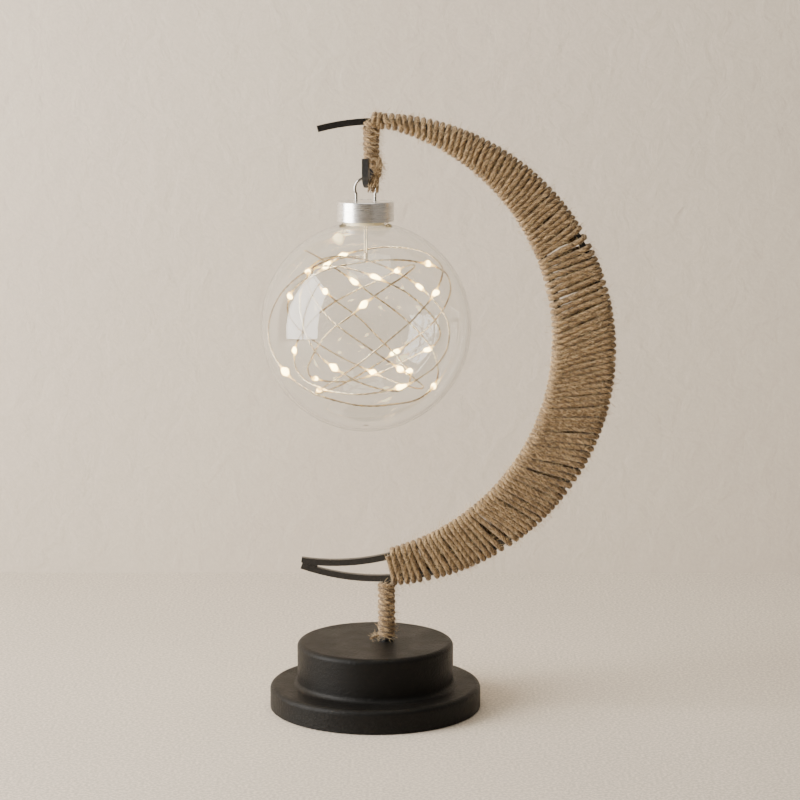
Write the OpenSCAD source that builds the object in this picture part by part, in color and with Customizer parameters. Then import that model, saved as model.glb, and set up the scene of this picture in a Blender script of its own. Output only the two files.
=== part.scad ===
/* [Base] */
// Radius of the foot flange
flange_r = 51.1; // [49:0.1:58]
// Height of the flange's top above the table
flange_h = 11.5; // [10:0.1:13]
// Radius of the raised drum
drum_r = 37.8; // [36:0.1:42]
// Height of the drum's top above the table
base_h = 32.4; // [31:0.1:40]
// Sheet thickness of the pressed shell
shell_t = 1.6; // [1.2:0.1:1.8]

/* [Stem] */
// Distance of the stem from the base's axis
stem_x = 5.5; // [4:0.1:8]
// Diameter of the stem rod
rod_d = 4; // [3.6:0.1:4.4]
// Free height of the stem between the drum and the crescent
stem_h = 29.4; // [24:0.1:40]

/* [Crescent] */
// Side of the square steel bar
bar = 3; // [2.6:0.1:3.4]
// Centreline radius of the outer bow
outer_r = 109.8; // [106:0.1:112]
// Centreline radius of the inner bow
inner_r = 107.6; // [104:0.1:109]
// Sideways shift of the inner bow's centre from the outer bow's centre
inner_shift = -20.8; // [-24:0.1:-18]
// Rise of the inner bow's centre above the outer bow's centre
inner_rise = 5.5; // [4:0.1:7]

/* [Cord] */
// Diameter of the jute cord
cord_d = 2.8; // [2.4:0.1:3]

/* [Hook] */
// Drop from the crescent's top to the underside of the hook
hook_drop = 32.8; // [30:0.1:36]
// Centreline radius of the hook's bend
hook_bend_r = 4.5; // [4.2:0.1:5]
// Height of the free tip above the underside of the hook
hook_tip_h = 14; // [10:0.1:16]

/* [Globe] */
// Outer radius of the glass globe
globe_r = 50; // [46:0.5:52]
// Thickness of the glass
glass_t = 1.2; // [1:0.1:1.6]

/* [Cap] */
// Radius of the cap
cap_r = 13.5; // [13.3:0.1:14.5]
// Height of the cap
cap_h = 9.4; // [9.2:0.1:11]
// Diameter of the bail's wire
bail_d = 1.3; // [1.1:0.1:1.4]

/* [Lights] */
// Number of turns of light wire in the globe
wire_turns = 6; // [2:1:6]
// Diameter of the light wire
light_wire_d = 0.6; // [0.4:0.1:0.8]
// Radius of a light bead
bead_r = 1.45; // [1:0.05:1.5]

/* [Hidden] */
$fn = 64;

// Gap left between pieces that are pressed, screwed or welded together
fit_gap = 0.03;

// Base: the shell stands a hair above the table on its felt
edge_r = 2.5;
rim_z = 0.4;
pad_t = 1.2;
cover_t = 1.2;
cover_r = flange_r - shell_t - 0.4;
ballast_r = drum_r - shell_t - 2.2;
ballast_z = 12.4;
boss_r = 5;
screw_r = 1.5;
screw_head_r = 2.8;
screw_top = 11;
screw_ring_r = 24;
nut_pocket_r = 7;
nut_pocket_top = 20;

// Stem: rod, collar on the drum, washer and nut under the ballast
rod_r = rod_d / 2;
collar_r = 3.4;
collar_t = 1.2;
washer_t = 1.2;
nut_t = 3.2;

// Crescent: centres of the two bows in the plane of the crescent
outer_x = 1.3;
outer_z = base_h + stem_h + outer_r + bar / 2;
inner_x = outer_x + inner_shift;
inner_z = outer_z + inner_rise;
crescent_top = outer_z + outer_r + bar / 2;
wrap_half_t = bar / 2 + cord_d + 0.1;
wrap_round = 3.2;

// Hook: behind the outer bow, its bend swung a little towards the horn
hook_yaw = -14.5;
shank_x = -1.8;
shank_y = bar + 0.35;
bend_z = crescent_top - hook_drop + bar / 2 + hook_bend_r;
seat_z = bend_z - hook_bend_r + bar / 2;

// Hang point: the bail's arch slides over the two edges of the hook
hang_x = -4.2;
hang_y = shank_y - hook_bend_r * cos(hook_yaw);
arch_r = 5.05;
seat_x = shank_x + hook_bend_r * sin(hook_yaw);
seat_edge = abs(seat_x - hang_x) + bar / 2 + 0.05;
arch_inner = arch_r - bail_d / 2;
arch_z = seat_z - sqrt(arch_inner * arch_inner - seat_edge * seat_edge) + 0.04;
leg_x = 4.45;

// Cap and globe, measured down from the top of the bail
cap_top = arch_z - 5.7;
cap_t = 0.8;
cap_wall = 0.6;
toe_z = cap_top - 1.5;
globe_z = cap_top - globe_r - 9.6;
neck_top = cap_top - 5.7;
neck_r = 10.9;
neck_bore_r = 9.4;
cup_r = 9;
cell_r = 8;
cell_t = 1.5;
cup_z = cap_top - 12.2;
flange_z = neck_top + 0.45;
switch_y = 8;

// Light wire: turns round the middle of the globe that lean and grow outwards
wire_r = light_wire_d / 2;
first_r = 33;
last_r = globe_r - glass_t - bead_r - 0.8;
wire_end = 360 * wire_turns;
wire_step = 15;
wire_sides = 6;
bead_step = 90;
first_bead = 30;
turn_drift = 0.38;
turn_lean = 52;

function wire_dist(t) = first_r + (last_r - first_r) * t / wire_end;

// Direction from the middle of the globe to the wire, which starts under the neck
function wire_out(t) =
    let (lean = turn_lean + (90 - turn_lean) * exp(-t / 90))
    let (x = -sin(t), y = cos(t) * cos(lean), z = cos(t) * sin(lean))
    let (c = cos(turn_drift * t), s = sin(turn_drift * t))
    [c * x - s * y, s * x + c * y, z];

function wire_at(t) = wire_dist(t) * wire_out(t);
function unit(v) = v / norm(v);
function wire_along(t) = unit(wire_at(t + 1) - wire_at(t - 1));
function wire_aside(t) = unit(cross(wire_out(t), wire_along(t)));

module at_hang(z) {
    translate([hang_x, hang_y, z]) children();
}

module tube(r_out, r_in, h) {
    difference() {
        cylinder(r = r_out, h = h);
        translate([0, 0, -1]) cylinder(r = r_in, h = h + 2);
    }
}

// Half profile of a round slab with its top edge rounded
module round_slab(r, h, e) {
    square([r - e, h]);
    square([r, h - e]);
    translate([r - e, h - e]) circle(e);
}

// Half profile of the stepped base, grown inwards by t
module base_profile(t) {
    round_slab(flange_r - t, flange_h - t, edge_r - t);
    round_slab(drum_r - t, base_h - t, edge_r - t);
    difference() {
        translate([drum_r - t - 1, flange_h - t - 1]) square(edge_r + t + 1);
        translate([drum_r + edge_r, flange_h + edge_r]) circle(edge_r + t);
    }
}

module screw_places() {
    for (a = [90, 210, 330]) {
        rotate([0, 0, a]) translate([screw_ring_r, 0, 0]) children();
    }
}

module felt_pad() {
    color("dimgray") cylinder(r = cover_r - 0.6, h = pad_t);
}

module base_shell() {
    color([0.05, 0.045, 0.04]) difference() {
        rotate_extrude() base_profile(0);
        rotate_extrude() base_profile(shell_t);
        translate([0, 0, -1]) cylinder(r = flange_r + 5, h = 1 + rim_z);
        translate([stem_x, 0, base_h - 5]) cylinder(r = rod_r + fit_gap, h = 10);
    }
}

module base_cover() {
    color("gray") difference() {
        translate([0, 0, pad_t]) cylinder(r = cover_r, h = cover_t);
        screw_places() {
            translate([0, 0, pad_t]) {
                cylinder(r1 = screw_head_r + fit_gap, r2 = screw_r + fit_gap, h = cover_t);
            }
        }
    }
}

module cover_screws() {
    color("silver") screw_places() difference() {
        union() {
            translate([0, 0, pad_t]) cylinder(r1 = screw_head_r, r2 = screw_r, h = cover_t);
            translate([0, 0, pad_t + cover_t]) {
                cylinder(r = screw_r, h = screw_top - pad_t - cover_t);
            }
        }
        translate([-screw_head_r, -0.3, pad_t - 1]) cube([2 * screw_head_r, 0.6, 1.6]);
    }
}

module ballast() {
    boss_z = pad_t + cover_t;
    color("darkslategray") difference() {
        union() {
            translate([0, 0, ballast_z]) cylinder(r = ballast_r, h = base_h - shell_t - ballast_z);
            screw_places() translate([0, 0, boss_z]) cylinder(r = boss_r, h = ballast_z - boss_z + 1);
        }
        screw_places() cylinder(r = screw_r + fit_gap, h = screw_top + 0.5);
        translate([stem_x, 0, 0]) {
            cylinder(r = nut_pocket_r, h = nut_pocket_top);
            cylinder(r = rod_r + fit_gap, h = base_h);
        }
    }
}

module stem_rod() {
    rod_foot = nut_pocket_top - washer_t - nut_t - 1.5;
    color("dimgray") difference() {
        translate([stem_x, 0, 0]) {
            translate([0, 0, rod_foot]) cylinder(r = rod_r, h = base_h + stem_h + bar - rod_foot);
            translate([0, 0, base_h]) cylinder(r = collar_r, h = collar_t);
        }
        bow_disc(outer_x, outer_z, outer_r + bar / 2 + fit_gap, 4 * rod_d);
    }
}

module stem_washer() {
    color("silver") translate([stem_x, 0, nut_pocket_top - washer_t]) {
        tube(6, rod_r + 0.1, washer_t);
    }
}

module stem_nut() {
    across_flats = 7;
    color("silver") translate([stem_x, 0, nut_pocket_top - washer_t - nut_t]) difference() {
        intersection_for(a = [0, 60, 120]) {
            rotate([0, 0, a]) {
                translate([-across_flats / 2, -across_flats, 0]) {
                    cube([across_flats, 2 * across_flats, nut_t]);
                }
            }
        }
        translate([0, 0, -1]) cylinder(r = rod_r + fit_gap, h = nut_t + 2);
    }
}

// Cord wound round the stem, with its end laid on the drum
module stem_wrap() {
    wrap_r = rod_r + cord_d - 0.5;
    tail_r = cord_d / 2;
    color("tan") difference() {
        union() {
            translate([stem_x, 0, base_h + 0.1]) cylinder(r = wrap_r, h = stem_h + bar);
            translate([stem_x - 2, -1.6, base_h + 0.1 + tail_r]) rotate([0, -90, 12]) {
                cylinder(r1 = tail_r, r2 = tail_r / 2, h = 6.2);
            }
        }
        translate([stem_x, 0, base_h - 1]) {
            cylinder(r = rod_r + 0.05, h = stem_h + 3 * bar);
            cylinder(r = collar_r + 0.05, h = collar_t + 1.1);
        }
        bow_disc(outer_x, outer_z, outer_r + bar / 2 + 0.05, 8 * rod_d);
    }
}

// A flat disc in the plane of the crescent
module bow_disc(x, z, r, t) {
    translate([x, 0, z]) rotate([90, 0, 0]) cylinder(r = r, h = t, center = true, $fn = 180);
}

// A square bar bent round a centre in the plane of the crescent
module bow(x, z, r, from, to) {
    translate([x, 0, z]) rotate([90, 0, 0]) rotate([0, 0, from]) {
        rotate_extrude(angle = to - from, $fn = 180) {
            translate([r - bar / 2, -bar / 2]) square(bar);
        }
    }
}

module outer_bow() {
    color([0.04, 0.035, 0.03]) bow(outer_x, outer_z, outer_r, -109.6, 104.8);
}

module inner_bow() {
    color([0.04, 0.035, 0.03]) intersection() {
        bow(inner_x, inner_z, inner_r, -98.6, 73);
        bow_disc(outer_x, outer_z, outer_r - bar / 2 - fit_gap, 4 * bar);
    }
}

// Weld that fills the narrow wedge between the bows at the lower horn
module horn_weld() {
    weld_t = bar - 0.6;
    color([0.06, 0.05, 0.045]) difference() {
        intersection() {
            translate([-31.5, -weld_t / 2, outer_z - outer_r]) cube([3.7, weld_t, 4 * bar]);
            bow_disc(outer_x, outer_z, outer_r - bar / 2 - fit_gap, 4 * bar);
        }
        bow_disc(inner_x, inner_z, inner_r + bar / 2 + fit_gap, 4 * bar);
    }
}

// Half profile of the wound crescent's outer edge
module wrap_rim_profile(r) {
    flat = wrap_half_t - wrap_round + 0.4;
    intersection() {
        translate([0, -wrap_half_t]) square([r + 1, 2 * wrap_half_t]);
        union() {
            translate([0, -wrap_half_t]) square([r - wrap_round, 2 * wrap_half_t]);
            translate([0, -flat]) square([r, 2 * flat]);
            translate([r - wrap_round, flat]) circle(wrap_round);
            translate([r - wrap_round, -flat]) circle(wrap_round);
        }
    }
}

// Half profile of the space inside the wound crescent, with flared edges
module wrap_hole_profile(r) {
    flat = wrap_half_t - wrap_round + 0.4;
    difference() {
        translate([0, -2 * wrap_half_t]) square([r + wrap_round, 4 * wrap_half_t]);
        translate([r, -flat]) square([wrap_round + 1, 2 * flat]);
        translate([r + wrap_round, flat]) circle(wrap_round);
        translate([r + wrap_round, -flat]) circle(wrap_round);
    }
}

module about(x, z) {
    translate([x, 0, z]) rotate([90, 0, 0]) children();
}

// Cord wound side by side round both bows, hollow between them
module crescent_wrap() {
    rim_r = outer_r + bar / 2 + cord_d;
    hollow_t = bar + 0.1;
    color("burlywood") difference() {
        intersection() {
            about(outer_x, outer_z) rotate_extrude($fn = 180) wrap_rim_profile(rim_r);
            wound_stretch(2.8, 8.5, rim_r + 5);
        }
        intersection() {
            about(outer_x, outer_z) rotate_extrude($fn = 180) {
                wrap_hole_profile(outer_r - bar / 2 - cord_d);
            }
            about(inner_x, inner_z) rotate_extrude($fn = 180) {
                wrap_hole_profile(inner_r - bar / 2 - cord_d);
            }
        }
        difference() {
            bow_disc(outer_x, outer_z, outer_r + bar / 2 + 0.05, hollow_t);
            intersection() {
                bow_disc(outer_x, outer_z, outer_r - bar / 2 - 0.05, 2 * hollow_t);
                bow_disc(inner_x, inner_z, inner_r - bar / 2 - 0.05, 2 * hollow_t);
            }
        }
    }
}

// The stretch of the crescent that is wound: from top_x round to the slanted first turn
module wound_stretch(top_x, foot_x, reach) {
    foot_z = inner_z - inner_r;
    slant = 0.2;
    rise = 15;
    rotate([90, 0, 0]) linear_extrude(8 * bar, center = true) polygon([
        [top_x, outer_z + reach],
        [top_x, outer_z],
        [foot_x - slant * rise, foot_z + rise],
        [foot_x + slant * rise, foot_z - rise],
        [outer_x + reach, foot_z - rise],
        [outer_x + reach, outer_z + reach]
    ]);
}

// Hook: straight shank, half-round bend and straight tip, of bar width w
module hook_shape(w) {
    bend_y = -hook_bend_r;
    tip_z = crescent_top - hook_drop + hook_tip_h;
    translate([shank_x, shank_y, 0]) rotate([0, 0, hook_yaw]) {
        translate([-w / 2, -w / 2, bend_z]) cube([w, w, crescent_top - 0.3 - bend_z]);
        translate([-w / 2, 2 * bend_y - w / 2, bend_z]) cube([w, w, tip_z - bend_z]);
        translate([0, bend_y, bend_z]) rotate([90, 0, 90]) rotate([0, 0, 180]) {
            rotate_extrude(angle = 180) translate([hook_bend_r - w / 2, -w / 2]) square(w);
        }
    }
}

module hook_bar() {
    color([0.04, 0.035, 0.03]) hook_shape(bar);
}

// Cord wound round the shank and over the bow, with its frayed end hanging
module hook_wrap() {
    rim_r = outer_r + bar / 2 + cord_d;
    sleeve_r = bar / 2 + cord_d;
    slim_r = 3.2;
    slim_z = bend_z - 4;
    step_z = bend_z + 9.5;
    tail_x = 1.7;
    tail_y = -3.5;
    color("tan") difference() {
        union() {
            intersection() {
                about(outer_x, outer_z) {
                    rotate([0, 0, 89.6]) rotate_extrude(angle = 4, $fn = 180) {
                        translate([outer_r - bar / 2 - cord_d, -wrap_half_t]) {
                            square([bar + 2 * cord_d, 2 * wrap_half_t]);
                        }
                    }
                }
                translate([-8, -10, outer_z]) cube([8 + 2.7, 20, rim_r + 5]);
            }
            translate([shank_x + 0.2, shank_y, step_z]) {
                cylinder(r = sleeve_r, h = crescent_top + cord_d / 2 - step_z);
            }
            translate([shank_x + 0.2, shank_y, slim_z]) cylinder(r = slim_r, h = step_z - slim_z + 1);
            translate([tail_x, tail_y, bend_z - 7.4]) cylinder(r1 = 0.9, r2 = 1.4, h = 18);
            translate([tail_x, tail_y, bend_z + 10.6]) sphere(1.42);
            translate([tail_x, tail_y, bend_z + 10.6]) rotate([-90, 0, 0]) cylinder(r = 1.4, h = 5);
        }
        hook_shape(bar + 2 * fit_gap);
        bow(outer_x, outer_z, outer_r, 80, 100);
        bow_slack(85, 98);
    }
}

// Clearance round the outer bow where the cord crosses it
module bow_slack(from, to) {
    slack = bar + 2 * fit_gap;
    translate([outer_x, 0, outer_z]) rotate([90, 0, 0]) rotate([0, 0, from]) {
        rotate_extrude(angle = to - from, $fn = 180) {
            translate([outer_r - slack / 2, -slack / 2]) square(slack);
        }
    }
}

// Bail: round wire arch, two straight legs and two toes turned out under the cap
module bail() {
    splay = acos(leg_x / arch_r);
    leg_top = -arch_r * sin(splay);
    toe_l = 2.1;
    color("silver") at_hang(arch_z) {
        rotate([90, 0, 0]) rotate([0, 0, -splay]) {
            rotate_extrude(angle = 180 + 2 * splay) translate([arch_r, 0]) circle(bail_d / 2);
        }
        for (s = [-1, 1]) {
            translate([s * leg_x, 0, leg_top]) sphere(bail_d / 2 + 0.02);
            translate([s * leg_x, 0, toe_z - arch_z]) {
                cylinder(r = bail_d / 2, h = leg_top - toe_z + arch_z);
                sphere(bail_d / 2 + 0.02);
                rotate([0, s * 90, 0]) cylinder(r = bail_d / 2, h = toe_l);
            }
        }
    }
}

module cap_shell() {
    color("lightgray") at_hang(cap_top - cap_h) difference() {
        rotate_extrude() round_slab(cap_r, cap_h, 0.8);
        translate([0, 0, -1]) cylinder(r = cap_r - cap_wall, h = cap_h - cap_t + 1);
        for (s = [-1, 1]) {
            translate([s * leg_x, 0, 0]) cylinder(r = bail_d / 2 + 0.4, h = 2 * cap_h);
        }
        translate([-2.6, switch_y - 1.1, 1]) cube([5.2, 2.2, 2 * cap_h]);
    }
}

module neck_liner() {
    color("wheat") at_hang(cap_top - cap_h + 0.2) {
        tube(cap_r - cap_wall - 0.05, neck_r + 0.05, flange_z - cap_top + cap_h - 0.25);
    }
}

module battery_holder() {
    floor_t = 0.8;
    color("cornsilk") difference() {
        union() {
            at_hang(cup_z) cylinder(r = cup_r, h = flange_z + 1 - cup_z);
            at_hang(flange_z) cylinder(r = cap_r - cap_wall - 0.1, h = 1);
        }
        at_hang(cup_z + floor_t) cylinder(r = cell_r + 0.15, h = 20);
        at_hang(cup_z - 1) cylinder(r = 1.1, h = 5);
    }
}

module coin_cells() {
    color("silver") at_hang(cup_z + 1.2) {
        cylinder(r = cell_r, h = cell_t);
        translate([0, 0, cell_t + 0.05]) cylinder(r = cell_r, h = cell_t);
    }
}

module contact_plates() {
    color("goldenrod") at_hang(cup_z) {
        translate([0, 0, 0.85]) tube(6, 1.1, 0.3);
        translate([0, 0, 4.35]) cylinder(r = 6, h = 0.3);
    }
}

module holder_lid() {
    color("cornsilk") at_hang(cup_z + 4.7) cylinder(r = cell_r + 0.1, h = 1.2);
}

module switch_body() {
    body_z = flange_z + 1.02;
    color("black") at_hang(body_z) difference() {
        translate([-4, switch_y - 2.2, 0]) cube([8, 4.4, cap_top - cap_t - 0.05 - body_z]);
        translate([-2.6, switch_y - 1, 1.6]) cube([5.2, 2, cap_h]);
    }
}

module switch_knob() {
    knob_z = flange_z + 2.7;
    color("white") at_hang(knob_z) {
        translate([-1.2, switch_y - 0.95, 0]) cube([2.4, 1.9, cap_top - 0.1 - knob_z]);
    }
}

// Two leads from the battery cup down to the light wire
module lead_wires() {
    lead_z = globe_z + first_r + 2.1;
    color("goldenrod") at_hang(lead_z) {
        for (s = [-1, 1]) {
            translate([s * 0.5, 0, 0]) cylinder(r = 0.3, h = cup_z + 0.7 - lead_z);
        }
    }
}

module glass_globe() {
    color([0.85, 0.9, 0.92, 0.35]) at_hang(globe_z) rotate_extrude() difference() {
        intersection() {
            union() {
                circle(globe_r, $fn = 180);
                square([neck_r, neck_top - globe_z]);
            }
            translate([0, -2 * globe_r]) square([2 * globe_r, 4 * globe_r]);
        }
        circle(globe_r - glass_t, $fn = 180);
        translate([-1, 0]) square([neck_bore_r + 1, 2 * globe_r]);
    }
}

module splice_tube() {
    color("white") at_hang(globe_z + first_r - 1) cylinder(r = 1, h = 3);
}

// Drop-shaped bead along +X, as a turned solid
module bead() {
    drop = [
        for (a = [0:30:180]) [bead_r * sin(a) * (1 + 0.3 * cos(a)), -1.6 * bead_r * cos(a)]
    ];
    rotate([0, 90, 0]) rotate_extrude() polygon(drop);
}

// Carries the children to the light wire's place t, with +X along the wire
module on_wire(t) {
    p = wire_at(t);
    x = wire_along(t);
    y = wire_aside(t);
    z = cross(x, y);
    multmatrix([
        [x[0], y[0], z[0], p[0]],
        [x[1], y[1], z[1], p[1]],
        [x[2], y[2], z[2], p[2]],
        [0, 0, 0, 1]
    ]) children();
}

// The light wire: rings of points swept along its turns
module fairy_wire() {
    rings = wire_end / wire_step;
    points = [
        for (i = [0:rings])
            let (t = i * wire_step, p = wire_at(t), y = wire_aside(t), z = wire_out(t))
            for (k = [0:wire_sides - 1])
                let (a = 360 * k / wire_sides)
                p + wire_r * (cos(a) * y + sin(a) * z)
    ];
    walls = [
        for (i = [0:rings - 1], k = [0:wire_sides - 1])
            let (a = i * wire_sides + k, b = i * wire_sides + (k + 1) % wire_sides)
            [a, b, b + wire_sides, a + wire_sides]
    ];
    start_cap = [for (k = [0:wire_sides - 1]) wire_sides - 1 - k];
    end_cap = [for (k = [0:wire_sides - 1]) rings * wire_sides + k];
    color("goldenrod") at_hang(globe_z) {
        polyhedron(points, concat(walls, [start_cap, end_cap]), convexity = 10);
    }
}

module fairy_beads() {
    color("moccasin") at_hang(globe_z) {
        for (t = [first_bead:bead_step:wire_end - 1]) {
            on_wire(t) bead();
        }
    }
}

felt_pad();
base_shell();
base_cover();
cover_screws();
ballast();
stem_rod();
stem_washer();
stem_nut();
stem_wrap();
outer_bow();
inner_bow();
horn_weld();
crescent_wrap();
hook_bar();
hook_wrap();
bail();
cap_shell();
neck_liner();
battery_holder();
coin_cells();
contact_plates();
holder_lid();
switch_body();
switch_knob();
lead_wires();
glass_globe();
splice_tube();
fairy_wire();
fairy_beads();
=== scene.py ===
"""Crescent lamp: a hanging glass globe of lights on a cord-wound moon stand.

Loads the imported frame, dresses its parts in their finishes, and makes the cord,
the lights and the glass as finished pieces in place of their plain solids.
All lengths in the code are millimetres until a mesh is written.
"""

import math
import random

import bmesh
import bpy
import numpy as np
from bpy.props import FloatProperty, FloatVectorProperty, IntProperty
from mathutils import Matrix, Vector


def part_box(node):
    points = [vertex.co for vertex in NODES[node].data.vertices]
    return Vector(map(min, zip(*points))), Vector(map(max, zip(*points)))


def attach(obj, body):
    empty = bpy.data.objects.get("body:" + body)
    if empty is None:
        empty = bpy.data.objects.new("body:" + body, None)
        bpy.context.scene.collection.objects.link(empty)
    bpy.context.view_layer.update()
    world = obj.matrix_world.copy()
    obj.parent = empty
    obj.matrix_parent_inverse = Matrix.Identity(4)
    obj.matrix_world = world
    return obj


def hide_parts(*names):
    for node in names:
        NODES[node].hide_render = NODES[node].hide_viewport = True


bl_info = {
    "name": "Crescent Lamp",
    "version": (1, 0, 0),
    "blender": (4, 5, 0),
    "location": "3D View > Sidebar > Lamp",
    "description": "Builds the crescent lamp's cord, lights, glass and finishes",
    "category": "Add Mesh",
}

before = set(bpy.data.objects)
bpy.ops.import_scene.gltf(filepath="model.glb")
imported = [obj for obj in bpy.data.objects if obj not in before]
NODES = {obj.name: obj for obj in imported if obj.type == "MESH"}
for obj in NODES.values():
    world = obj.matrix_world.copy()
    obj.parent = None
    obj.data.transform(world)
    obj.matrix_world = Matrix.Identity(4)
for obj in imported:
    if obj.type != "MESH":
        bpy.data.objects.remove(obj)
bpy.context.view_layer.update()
MM = 0.001


def box_mm(node):
    """Lowest and highest corners of a CAD node, in millimetres."""
    low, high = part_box(node)
    return np.array(low) / MM, np.array(high) / MM


def outer_bow_circle():
    """Centre (x, z) and centreline radius of the outer bow, and half its bar."""
    low, high = box_mm("outer_bow")
    half = (high[1] - low[1]) / 2
    radius = (high[2] - low[2]) / 2 - half
    return (high[0] - radius - half, (high[2] + low[2]) / 2), radius, half


OUTER_CENTRE, OUTER_RADIUS, BAR_HALF = outer_bow_circle()
INNER_CENTRE = (OUTER_CENTRE[0] - 20.8, OUTER_CENTRE[1] + 5.5)
INNER_RADIUS = OUTER_RADIUS - 2.2


# ---------------------------------------------------------------- settings


class LampCordSettings(bpy.types.PropertyGroup):
    """Sizes and colours of the jute cord."""

    radius: FloatProperty(
        name="Cord radius", description="Radius of the laid cord, mm", default=1.34, min=0.8, max=1.6
    )
    strands: IntProperty(
        name="Strands", description="Strands laid together in the cord", default=3, min=2, max=4
    )
    lay: FloatProperty(
        name="Lay length", description="Length of one full twist, mm", default=11.5, min=4.0, max=16.0
    )
    turns: IntProperty(
        name="Turns", description="Turns of cord on the crescent", default=110, min=40, max=130
    )
    light: FloatVectorProperty(
        name="Light fibre", description="Colour of the fibres on top", subtype="COLOR",
        default=(0.60, 0.445, 0.255), min=0.0, max=1.0,
    )
    # Painted shade between the strands, and also the deepest tone of the fibre grain.
    dark: FloatVectorProperty(
        name="Groove shade and grain", description="Painted shade between the strands, and the deepest fibre grain", subtype="COLOR",
        default=(0.050, 0.030, 0.015), min=0.0, max=1.0,
    )
    hairs: IntProperty(
        name="Stray fibres", description="Stray fibres on each length of cord", default=4200, min=0, max=6000
    )


class LampMetalSettings(bpy.types.PropertyGroup):
    """Colours of the painted and bare metal."""

    coat: FloatVectorProperty(
        name="Powder coat", description="Colour of the base's coat", subtype="COLOR",
        default=(0.0060, 0.0056, 0.0050), min=0.0, max=1.0,
    )
    lacquer: FloatVectorProperty(
        name="Bar lacquer", description="Colour of the square bars", subtype="COLOR",
        default=(0.0065, 0.0060, 0.0055), min=0.0, max=1.0,
    )
    cap: FloatVectorProperty(
        name="Cap metal", description="Colour of the drawn cap", subtype="COLOR",
        default=(0.90, 0.89, 0.87), min=0.0, max=1.0,
    )
    wire: FloatVectorProperty(
        name="Bail wire", description="Colour of the bail's wire", subtype="COLOR",
        default=(0.50, 0.48, 0.45), min=0.0, max=1.0,
    )


class LampLightSettings(bpy.types.PropertyGroup):
    """Sizes and colours of the lights in the globe."""

    wire_radius: FloatProperty(
        name="Wire radius", description="Radius of one of the two wires, mm", default=0.25, min=0.1, max=0.3
    )
    bead_radius: FloatProperty(
        name="Bead radius", description="Radius of a light drop, mm", default=1.45, min=0.8, max=1.6
    )
    # Also the colour of the painted light on the wire beside the drops.
    glow: FloatVectorProperty(
        name="Glow", description="Colour of the lit drops", subtype="COLOR",
        default=(1.0, 0.58, 0.13), min=0.0, max=1.0,
    )
    strength: FloatProperty(
        name="Glow strength", description="Brightness of the lit drops", default=30.0, min=0.0, max=90.0
    )


class LampStageSettings(bpy.types.PropertyGroup):
    """The room the lamp stands in."""

    wall: FloatVectorProperty(
        name="Wall", description="Colour of the wall", subtype="COLOR",
        default=(0.68, 0.600, 0.500), min=0.0, max=1.0,
    )
    floor: FloatVectorProperty(
        name="Floor", description="Colour of the floor", subtype="COLOR",
        default=(0.68, 0.600, 0.500), min=0.0, max=1.0,
    )
    key: FloatProperty(
        name="Window light", description="Power of the window light, W", default=22.5, min=0.0, max=200.0
    )
    fill: FloatProperty(
        name="Room light", description="Strength of the room's light", default=0.27, min=0.0, max=4.0
    )


# ---------------------------------------------------------------- mesh helpers


def write_mesh(name, points, faces, smooth=True):
    """A mesh object from millimetre points, placed through its mesh."""
    mesh = bpy.data.meshes.new(name)
    mesh.from_pydata([tuple(p) for p in np.asarray(points) * MM], [], [tuple(f) for f in faces])
    mesh.polygons.foreach_set("use_smooth", [smooth] * len(mesh.polygons))
    mesh.update()
    obj = bpy.data.objects.new(name, mesh)
    bpy.context.scene.collection.objects.link(obj)
    return obj


def settle(obj, body, material, replaced=()):
    """Gives a finished piece its material, its body and the nodes it stands for."""
    obj.data.materials.clear()
    obj.data.materials.append(material)
    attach(obj, body)
    if replaced:
        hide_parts(*replaced)
    return obj


def dress(node, material):
    """Puts a material on a CAD node."""
    obj = NODES[node]
    obj.data.materials.clear()
    obj.data.materials.append(material)


def carried_frames(path):
    """Tangents and carried side vectors along a line of points."""
    tangent = np.gradient(path, axis=0)
    tangent /= np.linalg.norm(tangent, axis=1)[:, None]
    side = np.empty_like(path)
    start = np.cross(tangent[0], (0.31, 0.87, 0.38))
    side[0] = start / np.linalg.norm(start)
    for i in range(1, len(path)):
        carried = side[i - 1] - tangent[i] * np.dot(side[i - 1], tangent[i])
        side[i] = carried / np.linalg.norm(carried)
    return tangent, side, np.cross(tangent, side)


def even_path(points, step):
    """The same line with points an even step apart."""
    points = np.asarray(points, float)
    run = np.concatenate([[0], np.cumsum(np.linalg.norm(np.diff(points, axis=0), axis=1))])
    count = max(4, int(round(run[-1] / step)) + 1)
    at = np.linspace(0, run[-1], count)
    return np.stack([np.interp(at, run, points[:, k]) for k in range(3)], axis=1), at


def smooth_line(points, passes=2):
    """Rounds the corners of a line by averaging neighbours, ends kept."""
    points = np.array(points, float)
    for _ in range(passes):
        points[1:-1] = (points[:-2] + 2 * points[1:-1] + points[2:]) / 4
    return points


def wander(at, period, seed):
    """A smooth random value along a line, about -1 to 1."""
    rng = np.random.default_rng(seed)
    knots = np.arange(at[0] - 2 * period, at[-1] + 3 * period, period)
    values = rng.uniform(-1, 1, len(knots))
    coarse = np.interp(at, knots, values)
    fine = np.interp(at, knots * 0.37 + at[0], values[::-1])
    return 0.7 * coarse + 0.3 * fine


def ring_faces(rings, sides, base=0):
    """Quads of a tube of rings; the ends are left for the caller to close."""
    i, k = np.meshgrid(np.arange(rings - 1), np.arange(sides), indexing="ij")
    a = base + i * sides + k
    b = base + i * sides + (k + 1) % sides
    quads = np.stack([a, b, b + sides, a + sides], axis=-1).reshape(-1, 4)
    return quads


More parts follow.
